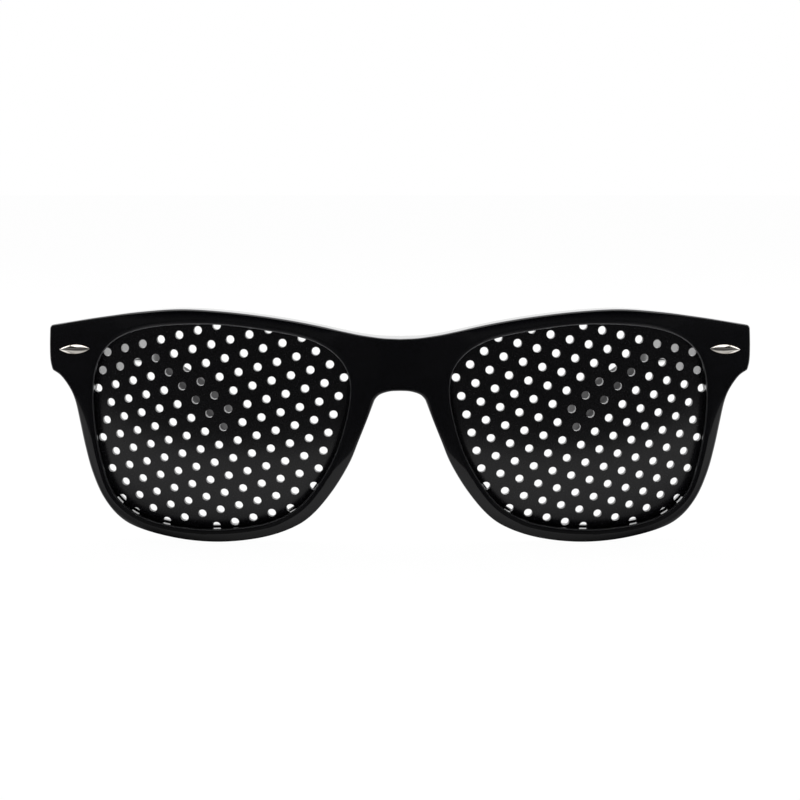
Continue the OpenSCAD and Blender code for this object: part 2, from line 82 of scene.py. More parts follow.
def with_front(points):
    """Front millimetres to row metres: turned by TILT into the temples' directions first."""
    x, y, z = np.moveaxis(np.asarray(points, float), -1, 0)
    c, s = math.cos(TILT), math.sin(TILT)
    return with_temples(np.stack([x, c * y - s * z - MATE_BACK, s * y + c * z - MATE_UP], -1))


# The moulded front
# One piece of glossy black plastic: two rims on the lenses' curve, a bridge with a flat
# facet, thick end pieces and two nose pads, moulded and then tumbled round at its edges.
def curve(points, steps, closed=False):
    """A Catmull-Rom curve through the points, as one array of steps points to a span."""
    p = np.asarray(points, float)
    if closed:
        p = np.vstack([p[-1:], p, p[:2]])
    else:
        p = np.vstack([2 * p[0] - p[1], p, 2 * p[-1] - p[-2]])
    a, b, c, d = (q[:, None] for q in (p[:-3], p[1:-2], p[2:-1], p[3:]))
    t = (np.arange(steps) / steps)[None, :, None]
    q = 0.5 * (2 * b + (c - a) * t + (2 * a - 5 * b + 4 * c - d) * t ** 2
               + (3 * b - a - 3 * c + d) * t ** 3)
    q = q.reshape(-1, p.shape[1])
    return q if closed else np.vstack([q, p[-2:-1]])


def even(points, count):
    """The same line with count points at equal steps along it, both ends kept."""
    s = np.r_[0, np.cumsum(np.hypot(*np.diff(points, axis=0).T))]
    at = np.linspace(0, s[-1], count)
    return np.stack([np.interp(at, s, points[:, k]) for k in (0, 1)], -1)


def across(points, closed=True):
    """Unit normals of a line in a plane, to the right of the way it runs."""
    if closed:
        d = np.roll(points, -1, 0) - np.roll(points, 1, 0)
    else:
        d = np.gradient(points, axis=0)
    d /= np.hypot(*d.T)[:, None]
    return np.stack([d[:, 1], -d[:, 0]], -1)


# Places in the outline, as shares of the sizes that drive them: the rim's half width and half
# height, the bridge's width and the brow's dip, the end piece's reach and height
BROW_DIP, ARCH_Z = 6.4, 7.2


def rim_at(u, v):
    return [LENS_X + u * RIM_HW, v * RIM_HH]


def brow_at(u, v):
    return [u * BRIDGE_W, RIM_HH - v * BROW_DIP]


def end_at(u, v):
    return [END_X - u * END_REACH, END_TOP - v * END_H]


def arch_at(u, v):
    return [u * BRIDGE_W, ARCH_Z - v * BRIDGE_W]


LENS_SHAPE = [[1, 0.12], [0.98, 0.53], [0.85, 0.8], [0.57, 0.95], [0.11, 1],
              [-0.33, 0.95], [-0.73, 0.83], [-0.95, 0.61], [-1, 0.3], [-0.9, -0.2],
              [-0.73, -0.58], [-0.55, -0.81], [-0.28, -0.95], [0.17, -1], [0.6, -0.92],
              [0.85, -0.7], [0.95, -0.35]]
opening = curve([[LENS_X + u * LENS_W / 2, v * LENS_H / 2] for u, v in LENS_SHAPE], 24, True)
brow = curve([brow_at(0, 1.023), brow_at(0.195, 0.99), brow_at(0.39, 0.883), brow_at(0.59, 0.727),
              rim_at(-0.56, 0.888), rim_at(-0.29, 0.943), rim_at(-0.01, 0.98), rim_at(0.27, 0.992),
              rim_at(0.55, 0.962), rim_at(0.85, 0.906), end_at(0.06, 0)], 24)
end_edge = curve([end_at(0.007, 0.045), end_at(0, 0.45), end_at(0.02, 0.79), end_at(0.09, 1)], 12)
low_rim = curve([end_at(0.09, 1), end_at(0.38, 1.12), end_at(0.67, 1.38), rim_at(1.04, 0.2),
                 rim_at(1.006, 0), rim_at(0.972, -0.21), rim_at(0.93, -0.42), rim_at(0.859, -0.636),
                 rim_at(0.748, -0.81), rim_at(0.6, -0.908), rim_at(0.31, -0.986),
                 rim_at(0.02, -1.006), rim_at(-0.268, -0.965), rim_at(-0.486, -0.88),
                 rim_at(-0.628, -0.768), rim_at(-0.773, -0.562), rim_at(-0.894, -0.322),
                 rim_at(-0.965, -0.116), rim_at(-1.03, 0.08), arch_at(0.25, 0.082)], 24)
arch = curve([arch_at(0.25, 0.082), arch_at(0.2, 0.036), arch_at(0.1, 0.006), arch_at(0, 0)], 24)


def rounded(points, width, step=0.1):
    """The half outline with its corners eased: a running mean over width, mirrored at x = 0."""
    p = even(points, int(np.hypot(*np.diff(points, axis=0).T).sum() / step))
    flip = np.array([-1, 1])
    n = int(width / step) | 1
    full = np.vstack([p[n:0:-1] * flip, p, p[-2:-n - 2:-1] * flip])
    mean = np.stack([np.convolve(full[:, k], np.ones(n) / n, "same") for k in (0, 1)], -1)
    q = mean[n:-n]
    q[[0, -1], 0] = 0
    return q


EDGE_COLUMNS, MIDDLE_COLUMNS, OUTLINE_EASE = 470, 22, 0.5
outline = np.vstack([brow, end_edge, low_rim[1:], arch[1:]])
outline = even(rounded(outline, OUTLINE_EASE)[::-1], EDGE_COLUMNS)
# The temporal half stands a little further out
SIDE_SWELL, SWELL_OVER = 0.11, 10
outline[:, 0] += SIDE_SWELL * np.clip((outline[:, 0] - LENS_X) / SWELL_OVER, 0, 1)


def sphere(x, z, radius):
    """Depth of a sphere about the lens's centre of curvature, behind the rims' front."""
    return FACE_R - np.sqrt(radius ** 2 - (np.abs(x) - SPHERE_X) ** 2 - z ** 2)


def soft(a, b, ease, sign):
    """The lower (sign 1) or the higher (sign -1) of two depths, with an eased corner."""
    h = np.maximum(ease - np.abs(a - b), 0) / ease
    return sign * (np.minimum(sign * a, sign * b) - h * h * ease / 4)


# The bridge: a leaning facet out to FACET_W, and a back that is an arc across it
FACET_W, FACET_BACK, FACET_LEAN, FACET_SOFT = 8.0, 4.6, math.tan(math.radians(3.9)), 0.3
BRIDGE_T, BRIDGE_LAP, BRIDGE_EASE, BRIDGE_REACH, BRIDGE_SOFT = 5.8, 0.2, 3.0, 12, 1.2
rise = FACET_BACK + BRIDGE_T + BRIDGE_LAP - sphere(FACET_W, 0, BACK_R)
BRIDGE_R = (FACET_W ** 2 + rise ** 2) / (2 * rise)
TEMPLE_T, TEMPLE_H, LEAF_W, GAP, BLOCK_WALL = 3.5, 10.4, 4.2, 0.1, 0.5
BLOCK_W = TEMPLE_T + GAP + LEAF_W + BLOCK_WALL
# The hinge block: where it may begin, its sides' slope, its reach below the temple, and its
# eased edges
BLOCK_FROM, BLOCK_SLOPE, BLOCK_UNDER = 40, 2, 0.4
BLOCK_CORNER, BLOCK_TOP, BLOCK_FOOT = 1.0, 0.7, 0.8


def face_depth(x, z):
    """The spheres' face, and the flat facet where it lies in front of them on the bridge."""
    s = sphere(x, z, FACE_R)
    return np.where(np.abs(x) < FACET_W, soft(s, FACET_BACK + z * FACET_LEAN, FACET_SOFT, 1), s)


def back_depth(x, z):
    """The shell's back, the round back of the bridge, and the drafted hinge block on the
    plane that the temple meets. The two spheres' meeting edge at x = 0 is eased."""
    s = sphere(np.hypot(x, BRIDGE_EASE), z, BACK_R)
    bridge = (FACET_BACK + z * FACET_LEAN + BRIDGE_T - BRIDGE_R
              + np.sqrt(np.maximum(BRIDGE_R ** 2 - x ** 2, 0)))
    shell = np.where(np.abs(x) < BRIDGE_REACH, soft(s, bridge, BRIDGE_SOFT, -1), s)
    ramp_in = BLOCK_SLOPE * (x - END_X + BLOCK_W)
    ramp_low = BLOCK_SLOPE * ((math.sin(TILT) * MATE_BACK + z) / math.cos(TILT) - MATE_UP
                              + TEMPLE_H + BLOCK_UNDER)
    block = soft(soft(ramp_in, ramp_low, BLOCK_CORNER, 1), 0 * x, BLOCK_TOP, 1)
    plane = (math.sin(TILT) * z + MATE_BACK) / math.cos(TILT)
    blocked = np.minimum(soft(shell, plane + block / math.cos(TILT), BLOCK_FOOT, -1), plane)
    return np.where(x > BLOCK_FROM, blocked, shell)


PAD_OUT, PAD_W, PAD_TOP, PAD_INSET = 3.4, 3.0, 0.2, 0.9
# Down the nasal rim: a height below the lens's middle, and the share of the pad's full rise
pad_line = curve([[-PAD_TOP, 0], [1.2, 0.2], [2.9, 0.6], [7.9, 1], [13.8, 0.85], [16.4, 0.25],
                  [17.9, 0]], 8)


def pad_height(outer_z, from_edge):
    """A nose pad's rise: PAD_OUT times its share along the rim, times (1 - w * w) to the power
    1.5, where w goes from 0 at the rim's edge to 1 at PAD_W from it."""
    swell = np.interp(-outer_z, pad_line[:, 0], pad_line[:, 1])
    wide = np.clip(from_edge / PAD_W, 0, 1)
    return PAD_OUT * swell * (1 - wide ** 2) ** 1.5


# Columns run round the opening; each meets the outline, or the middle plane at the bridge
inward = -across(outline, False)
inward[[0, -1], 0] = 0
inward[[0, -1]] /= np.abs(inward[[0, -1], 1:])
# The front edge's radius: more in the nose arch and most in its corners, less at the bottom
EDGE_R, ARCH_MORE, CORNER_MORE, LOW_LESS = 0.38, 0.25, 0.6, 0.16
ARCH_SPREAD, ARCH_WIDE, LOW_FROM, LOW_OVER = 2.2, 9, 14, 5
CORNER_X, CORNER_Z, CORNER_SPREAD = 5.6, 4.6, 2.6
edge_x, edge_z = outline.T
arch_corner = np.exp(-(np.hypot(edge_x - CORNER_X, edge_z - CORNER_Z) / CORNER_SPREAD) ** 2)
nose_arch = np.exp(-((edge_z - ARCH_Z) / ARCH_SPREAD) ** 2) * (edge_x < ARCH_WIDE)
low_edge = np.clip((-edge_z - LOW_FROM) / LOW_OVER, 0, 1)
edge_front = EDGE_R + ARCH_MORE * nose_arch + CORNER_MORE * arch_corner - LOW_LESS * low_edge
# The back edge's radius: less where the temple meets the end piece
BACK_EDGE_R, MATE_LESS, MATE_REACH, MATE_OVER, MATE_UNDER = 0.6, 0.42, 6.5, 2, 4
mate_share = np.clip((edge_x - END_X + MATE_REACH) / MATE_OVER, 0, 1)
edge_back = BACK_EDGE_R - MATE_LESS * mate_share * (edge_z > END_LOW - MATE_UNDER)


def closed_ring(edge):
    """The outline moved in by its fillet, closed by points down the middle plane."""
    ring = outline + inward * edge[:, None]
    down = np.linspace(ring[-1], ring[0], MIDDLE_COLUMNS + 2)[1:-1]
    return np.vstack([ring, down])


front_ring, back_ring = closed_ring(edge_front), closed_ring(edge_back)
# The opening's points stand where the outline's do, seen from the lens's middle. Each step of
# the turn is at least LEAST_STEP of the even one, and is shared with its neighbours.
LEAST_STEP, EASE_COLUMNS = 0.3, 15
from_lens = front_ring - [LENS_X, 0]
angle = np.unwrap(np.arctan2(from_lens[:, 1], from_lens[:, 0]))
columns = len(angle)
step = np.diff(np.r_[angle, angle[0] + 2 * math.pi])
step = np.maximum(step, LEAST_STEP * 2 * math.pi / columns)
step = np.convolve(np.r_[step[-EASE_COLUMNS:], step, step[:EASE_COLUMNS]],
                   np.ones(2 * EASE_COLUMNS + 1), "valid")
steady = np.r_[0, np.cumsum(step)[:-1]] * 2 * math.pi / step.sum()
angle = steady + np.mean(angle - steady)
round_lens = opening - [LENS_X, 0]
lens_angle = np.unwrap(np.arctan2(round_lens[:, 1], round_lens[:, 0]))
lens_angle = np.r_[lens_angle - 2 * math.pi, lens_angle, lens_angle + 2 * math.pi]
turn = (angle - lens_angle[0]) % (2 * math.pi) + lens_angle[0] + 2 * math.pi
turn = np.where(turn > lens_angle[-1], turn - 2 * math.pi, turn)
inner = np.stack([np.interp(turn, lens_angle, np.tile(opening[:, k], 3)) for k in (0, 1)], -1)
outward = across(inner)

# The opening's front edge, or mouth, lies MOUTH_DROP lower than the lens's own outline
EASE_FRONT, EASE_BACK, GROOVE, PLAY, MOUTH_DROP = 0.3, 0.45, 1.56, 0.06, 0.26
mouth = inner - [0, MOUTH_DROP]
rows = []


def add_row(flat, depth):
    """One row of points, once round the opening, at these depths."""
    rows.append(np.stack([flat[:, 0], depth, flat[:, 1]], -1))


def add_fillet(line, normal, radius, depth, sign, angles):
    """Rows round an edge: along the face by radius * (1 - sin a), off it by
    radius * (1 - cos a)."""
    for a in angles:
        flat = line + normal * (np.asarray(radius) * (1 - math.sin(a)))[..., None]
        add_row(flat, depth(flat) + sign * radius * (1 - math.cos(a)))


RIDGE, BEVEL, CREASE, NARROW, WIDE = 1.0, 0.75, 0.06, 3.2, 4.6
FALL_FIRST, FALL_MORE = 0.1, 0.05


def gap_to(flat, line):
    """Each point's least distance to a line of short straight runs."""
    run = np.diff(line, axis=0)
    away = flat[:, None] - line[:-1]
    share = np.clip((away * run).sum(-1) / (run * run).sum(-1), 0, 1)
    return np.sqrt(((away - share[..., None] * run) ** 2).sum(-1).min(1))


def face_at(flat):
    """The face with its moulded ridge, RIDGE from the opening. With x the way from the ridge
    to a place nearer the opening, it falls by BEVEL * x * x / (x + CREASE). With y the way
    to a place nearer the outline, it falls by (FALL_FIRST + FALL_MORE * y) * y where the rim
    is narrower than NARROW, by nothing where it is wider than WIDE, and by a share between."""
    edge = np.vstack([opening, opening[:1]]) - [0, MOUTH_DROP]
    gap_in, gap_out = gap_to(flat, edge), gap_to(flat, outline)
    x, y = np.maximum(RIDGE - gap_in, 0), np.maximum(gap_in - RIDGE, 0)
    narrow = np.clip((WIDE - gap_in - gap_out) / (WIDE - NARROW), 0, 1)
    outer = narrow * narrow * (3 - 2 * narrow) * (FALL_FIRST + FALL_MORE * y) * y
    fall = BEVEL * x * x / (x + CREASE) + outer
    return face_depth(flat[:, 0], flat[:, 1]) + fall


def back_at(flat):
    """The back's depth with the nose pad on it; the pad falls off away from the outline."""
    x, z = back_ring.T
    gap = np.hypot(*(flat - back_ring).T)
    nasal = (x < LENS_X) & (z < PAD_TOP) & (np.arange(columns) < EDGE_COLUMNS)
    pad = np.where(nasal, pad_height(z, np.maximum(gap - PAD_INSET, 0)), 0)
    return back_depth(flat[:, 0], flat[:, 1]) + pad


# Half of the face's rows lie in the first BEVEL_SPAN, where the bevel turns
FACE_ROWS, BEVEL_ROWS, BEVEL_SPAN = 26, 13, 1.2
QUARTER = np.linspace(0, math.pi / 2, 6)
wide_front = np.r_[edge_front, np.zeros(MIDDLE_COLUMNS)]
wide_back = np.r_[edge_back, np.zeros(MIDDLE_COLUMNS)]
edge_line = front_ring - np.vstack([inward * edge_front[:, None], np.zeros((MIDDLE_COLUMNS, 2))])
edge_in = np.vstack([inward, np.zeros((MIDDLE_COLUMNS, 2))])
lip_front = sphere(mouth[:, 0], mouth[:, 1], LENS_R + PLAY)
lip_back = sphere(inner[:, 0], inner[:, 1], LENS_R - LENS_T - PLAY)
in_groove = inner + outward * GROOVE
groove_front = sphere(in_groove[:, 0], in_groove[:, 1], LENS_R + PLAY)
groove_back = sphere(in_groove[:, 0], in_groove[:, 1], LENS_R - LENS_T - PLAY)
wall_front = face_at(mouth) + EASE_FRONT
add_row(in_groove, groove_front)
for share in (1, 0.5):
    add_row(mouth, wall_front + (lip_front - wall_front) * share)
edge_from = len(rows)
add_fillet(mouth, outward, EASE_FRONT, face_at, 1, QUARTER[::-1])
edge_to = len(rows) - 1
start = rows[-1][:, [0, 2]]
bevel = np.minimum(BEVEL_SPAN / np.hypot(*(front_ring - start).T), 0.5)[:, None]
for k in range(1, FACE_ROWS):
    share = bevel * k / BEVEL_ROWS
    if k > BEVEL_ROWS:
        share = bevel + (1 - bevel) * (k - BEVEL_ROWS) / (FACE_ROWS - BEVEL_ROWS)
    flat = start + (front_ring - start) * share
    add_row(flat, face_at(flat))
strip_from = len(rows)
add_fillet(edge_line, edge_in, wide_front, face_at, 1, QUARTER)
side_front, side_back = rows[-1][:, 1], back_at(edge_line) - wide_back
for share in (0.2, 0.4, 0.6, 0.8):
    add_row(edge_line, side_front + (side_back - side_front) * share)
add_fillet(edge_line, edge_in, wide_back, back_at, -1, QUARTER[::-1])
strip_to = len(rows) - 1
start = inner + outward * EASE_BACK
for share in np.arange(1, FACE_ROWS) / FACE_ROWS:
    flat = back_ring + (start - back_ring) * share
    add_row(flat, back_at(flat))
add_fillet(inner, outward, EASE_BACK, lambda f: back_depth(f[:, 0], f[:, 1]), -1, QUARTER)
add_row(inner, lip_back)
add_row(in_groove, groove_back)
half = np.array(rows)


def ring_faces(row_count, column_count, close_rows, skip=None):
    """Quads of a grid. Each row closes on itself, and with close_rows the last row meets the
    first; skip marks cells left open."""
    r = np.arange(row_count if close_rows else row_count - 1)
    i, j = (a.ravel() for a in np.meshgrid(r, np.arange(column_count), indexing="ij"))
    i2, j2 = (i + 1) % row_count, (j + 1) % column_count
    quads = np.stack([i * column_count + j, i2 * column_count + j,
                      i2 * column_count + j2, i * column_count + j2], -1)
    return quads if skip is None else quads[~skip(i, j)]


SHARP = 32


def new_piece(name, points, faces, weld=1e-7, sharp=SHARP, painted_edge_highlight=None):
    """A mesh object at the origin, welded, facing outwards, smooth up to the sharp angle. The
    last array is a painted highlight: how much lighter grey and roughness each point takes, from 0
    to 1."""
    mesh = bpy.data.meshes.new(name)
    mesh.from_pydata(np.asarray(points).reshape(-1, 3), [], [list(f) for f in faces])
    if painted_edge_highlight is not None:
        mesh.attributes.new("painted_edge_highlight", "FLOAT", "POINT").data.foreach_set("value", painted_edge_highlight)
    piece = bpy.data.objects.new(name, mesh)
    bpy.context.scene.collection.objects.link(piece)
    bm = bmesh.new()
    bm.from_mesh(mesh)
    if weld:
        bmesh.ops.remove_doubles(bm, verts=bm.verts, dist=weld)
    bmesh.ops.delete(bm, geom=[v for v in bm.verts if not v.link_faces], context="VERTS")
    bmesh.ops.recalc_face_normals(bm, faces=bm.faces)
    bm.to_mesh(mesh)
    bm.free()
    mesh.shade_smooth()
    mesh.set_sharp_from_angle(angle=math.radians(sharp))
    return piece


def open_strip(i, j):
    """The cells of the outer edge at the middle plane, where the two halves are joined."""
    middle = (j >= EDGE_COLUMNS - 1) & (j < columns)
    return middle & (i >= strip_from) & (i < strip_to)


quads = ring_faces(len(half), columns, True, open_strip)
other = half * [-1, 1, 1]
# The mouth's edge fillet gets a painted highlight, a lighter grey that is also rougher, most of all
# under the brow
HIGHLIGHT_LEAST, HIGHLIGHT_FROM, HIGHLIGHT_OVER = 0.5, 6, 12
painted_edge_highlight = np.zeros(half.shape[:2])
high = np.clip((mouth[:, 1] - HIGHLIGHT_FROM) / HIGHLIGHT_OVER, 0, 1)
painted_edge_highlight[edge_from:edge_to] = HIGHLIGHT_LEAST + (1 - HIGHLIGHT_LEAST) * high
front = new_piece("front_moulding", with_front(np.stack([half, other])),
                  np.vstack([quads, quads[:, ::-1] + half[..., 0].size]),
                  painted_edge_highlight=np.tile(painted_edge_highlight.ravel(), 2))
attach(front, "front")
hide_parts("front_frame")


def box_points(low, high):
    """The eight corners of a box, for cutters."""
    return np.array([[x, y, z] for x in (low[0], high[0]) for y in (low[1], high[1])
                     for z in (low[2], high[2])])


BOX_FACES = np.array([[0, 1, 3, 2], [4, 6, 7, 5], [0, 4, 5, 1], [2, 3, 7, 6], [0, 2, 6, 4],
                      [1, 5, 7, 3]])


def cut(piece, boxes):
    """Takes boxes out of a piece: the boxes are one cutter for an exact difference."""
    points = np.vstack([with_temples(b) for b in boxes])
    faces = np.vstack([BOX_FACES + 8 * k for k in range(len(boxes))])
    tool = new_piece("cutter", points, faces, weld=0)
    step = piece.modifiers.new("pocket", "BOOLEAN")
    step.operation, step.solver, step.object = "DIFFERENCE", "EXACT", tool
    graph = bpy.context.evaluated_depsgraph_get()
    result = bpy.data.meshes.new_from_object(piece.evaluated_get(graph))
    piece.modifiers.clear()
    piece.data = result
    bpy.data.objects.remove(tool)
    result.shade_smooth()
    result.set_sharp_from_angle(angle=math.radians(SHARP))


# The pocket that the front leaf lies in, open toward the temple
END_BARREL_H, MIDDLE_BARREL_H, BARREL_GAP = 1.7, 2.2, 0.06
KNUCKLES_H = 2 * END_BARREL_H + MIDDLE_BARREL_H + 2 * BARREL_GAP
LEAF_X, LEAF_T = END_X - TEMPLE_T - GAP - LEAF_W / 2, 0.9
SIDE_PLAY, BED_PLAY, POCKET_OPEN = 0.05, 0.04, 0.6
low_z = -HINGE_DROP - KNUCKLES_H / 2
pocket = np.array([[LEAF_X - LEAF_W / 2 - SIDE_PLAY, -LEAF_T - BED_PLAY, low_z - SIDE_PLAY],
                   [LEAF_X + LEAF_W / 2 + SIDE_PLAY, POCKET_OPEN, low_z + KNUCKLES_H + SIDE_PLAY]])
cut(front, [box_points(*np.sort(pocket * [sign, 1, 1], 0)) for sign in (1, -1)])


class Value:
    """A socket in a finish; sums and products of values add Math nodes."""

    def __init__(self, finish, socket):
        self.finish, self.socket = finish, socket

    def _with(self, operation, a, b):
        return self.finish.node("ShaderNodeMath", {"operation": operation}, {0: a, 1: b})

    def __add__(self, other):
        return self._with("ADD", self, other)

    def __radd__(self, other):
        return self._with("ADD", other, self)

    def __rsub__(self, other):
        return self._with("SUBTRACT", other, self)

    def __mul__(self, other):
        return self._with("MULTIPLY", self, other)

    def __rmul__(self, other):
        return self._with("MULTIPLY", other, self)


class Nodes:
    """The nodes of one tree: each is made by node, from its type, settings and inputs."""

    def __init__(self, tree):
        self.tree = tree

    def node(self, kind, settings=None, inputs=None, out=0):
        made = self.tree.nodes.new(kind)
        for key, value in (settings or {}).items():
            setattr(made, key, value)
        for key, value in (inputs or {}).items():
            if isinstance(value, Value):
                self.tree.links.new(value.socket, made.inputs[key])
            else:
                made.inputs[key].default_value = value
        return Value(self, made.outputs[out])

    def ramp(self, value, low, high, first=0.0, last=1.0, shape="LINEAR"):
        """first below low, last above high, and between them a straight or an eased rise."""
        return self.node("ShaderNodeMapRange", {"interpolation_type": shape},
                         {"Value": value, "From Min": low, "From Max": high,
                          "To Min": first, "To Max": last})

    def part(self, vector, axis):
        """The x, y or z of a vector, as a value."""
        return self.node("ShaderNodeSeparateXYZ", {}, {0: vector}, "XYZ".index(axis))


class Finish(Nodes):
    """A material under construction round one Principled shader."""

    def __init__(self, name, **fixed):
        self.material = bpy.data.materials.new(name)
        self.material.use_nodes = True
        super().__init__(self.material.node_tree)
        self.shader = self.tree.nodes["Principled BSDF"]
        self.place = self.node("ShaderNodeTexCoord", out="Object")
        for key, value in fixed.items():
            self.shader.inputs[key.replace("_", " ")].default_value = value

    def noise(self, size_mm, detail=3.0, rough=0.5, stretch=(1, 1, 1)):
        """Cloudy noise about 0.5, with features of about size_mm."""
        place = self.node("ShaderNodeMapping", {}, {"Vector": self.place,
                                                    "Scale": tuple(stretch)})
        return self.node("ShaderNodeTexNoise", {}, {"Vector": place, "Scale": 1 / (size_mm * MM),
                                                    "Detail": detail, "Roughness": rough})

    def mix(self, share, a, b):
        """Colour a where the share is 0, and b where it is 1."""
        return self.node("ShaderNodeMix", {"data_type": "RGBA"}, {0: share, 6: a, 7: b}, 2)

    def feed(self, **links):
        """Links values to the shader's sockets, and gives the material."""
        for key, value in links.items():
            self.tree.links.new(value.socket, self.shader.inputs[key.replace("_", " ")])
        return self.material


# The first grey and the last roughness are the painted highlight on the rims' mouth edge; the rest
# belong to the cloud, wipe and dust marks
PAINTED_HIGHLIGHT_GREY, CLOUD_PALE, DUST_PALE = (0.1, 0.1, 0.105, 1), 0.6, 0.4
CLOUD_MM, WIPE_MM, DUST_MM = 6, 0.5, 0.28
CLOUD_ROUGH, WIPE_ROUGH, DUST_ROUGH, HIGHLIGHT_ROUGH = 0.035, 0.07, 0.12, 0.2


def black_plastic(name, base, worn, rough, wave_mm, wave_depth, lean=0.0):
    """Moulded black plastic: near-black colour with a faint cloud, a polish broken by fine
    wipe marks, and the long shallow waves of a moulded surface. The relief also turns the
    shading of an upright face down by lean in every 1 of height."""
    f = Finish(name, IOR=1.5)
    cloud = f.noise(CLOUD_MM, 4)
    wipes = f.ramp(f.noise(WIPE_MM, 5, 0.65, (1, 0.12, 1)), 0.58, 0.78)
    dust = f.ramp(f.noise(DUST_MM, 2, 0.5), 0.71, 0.76)
    # A point attribute marks the painted highlight on the mouth edge: it mixes in a lighter grey
    # and adds roughness
    edge = f.node("ShaderNodeAttribute", {"attribute_name": "painted_edge_highlight"}, out="Fac")
    clouded = f.mix(cloud * CLOUD_PALE + dust * DUST_PALE, base, worn)
    colour = f.mix(edge, clouded, PAINTED_HIGHLIGHT_GREY)
    shine = (rough + cloud * CLOUD_ROUGH + wipes * WIPE_ROUGH + dust * DUST_ROUGH
             + edge * HIGHLIGHT_ROUGH)
    relief = f.noise(wave_mm, 1, 0.3) + f.part(f.place, "Z") * (lean / (wave_depth * MM))
    wave = f.node("ShaderNodeBump", {}, {"Strength": 1.0, "Distance": wave_depth * MM,
                                         "Height": relief})
    return f.feed(Base_Color=colour, Roughness=shine, Normal=wave)


gloss_black = black_plastic("gloss_black_plastic", (0.0030, 0.0030, 0.0044, 1),
                            (0.0055, 0.0055, 0.0072, 1), 0.045, 9.0, 0.02)
front.data.materials.append(gloss_black)

# The pinhole lenses
# Domed shells of black plastic, seated in the rims' grooves. The pinholes are drilled all
# one way in staggered rows that rise toward the nose, so they slant at the dome's edges.
HOLE_D, HOLE_PITCH, ROW_PITCH, ROW_TILT, ROW_DRIFT = 1.7, 4.01, 3.4, math.radians(14.5), 0.05
HOLE_SHIFT_X, HOLE_SHIFT_Z, HALF_ROWS = 3.45, 0.7, 16
hole_mid = np.array([LENS_X + HOLE_SHIFT_X, -HOLE_SHIFT_Z])
HOLE_YAW = math.asin((hole_mid[0] - SPHERE_X) / LENS_R)
HOLE_SIDES, HOLE_EDGE = 28, 0.07


def inside(points, ring):
    """Even-odd test of every point against a closed line, all at once."""
    a, b = ring, np.roll(ring, -1, 0)
    x, z = points[:, 0, None], points[:, 1, None]
    spans = (a[:, 1] > z) != (b[:, 1] > z)
    with np.errstate(divide="ignore", invalid="ignore"):
        left = x < a[:, 0] + (b[:, 0] - a[:, 0]) * (z - a[:, 1]) / (b[:, 1] - a[:, 1])
    return (spans & left).sum(1) % 2 == 1


span = np.arange(-HALF_ROWS, HALF_ROWS + 1)
i, j = (a.ravel() for a in np.meshgrid(span, span))
u, v = (i + (np.abs(j) % 2) / 2) * HOLE_PITCH - j * ROW_DRIFT, j * ROW_PITCH
c, s = math.cos(ROW_TILT), math.sin(ROW_TILT)
holes = hole_mid + np.stack([v * s - u * c, u * s + v * c], -1)
# A hole is drilled where its middle lies within the mouth, widened by HOLE_OVERLAP and moved
# out by HOLE_ASIDE
HOLE_OVERLAP, HOLE_ASIDE = 0.25, 0.15
drilled = opening + across(opening) * HOLE_OVERLAP + [HOLE_ASIDE, -MOUTH_DROP]
holes = holes[inside(holes, drilled)]


def on_sphere(flat, radius):
    """Points of the drilling plane carried along the drilling direction onto a sphere."""
    across_dir = np.array([math.cos(HOLE_YAW), math.sin(HOLE_YAW), 0])
    drill = np.array([-math.sin(HOLE_YAW), math.cos(HOLE_YAW), 0])
    local = flat - hole_mid
    origin = (np.array([hole_mid[0], 0, hole_mid[1]]) + local[:, :1] * across_dir
              + local[:, 1:] * np.array([0, 0, 1]))
    centre = np.array([SPHERE_X, FACE_R, 0])
    q = origin - centre
    b = q @ drill
    return origin + (-b - np.sqrt(b * b - (q * q).sum(1) + radius ** 2))[:, None] * drill


# The lens reaches SEAT past the opening. The lattice's points stand LATTICE apart, and at
# least LATTICE_CLEAR from a hole's edge and LATTICE_IN from the lens's.
SEAT, SEAT_POINTS = 1.42, 220
LATTICE, LATTICE_CLEAR, LATTICE_IN, LATTICE_X, LATTICE_Z = 1.33, 0.75, 0.9, (5, 70), 24


def clear_of_holes(points, play):
    """Which points lie more than play outside every hole's edge."""
    gap = np.min(np.hypot(*(points[:, None] - holes).transpose(2, 0, 1)), 1)
    return gap > HOLE_D / 2 + play


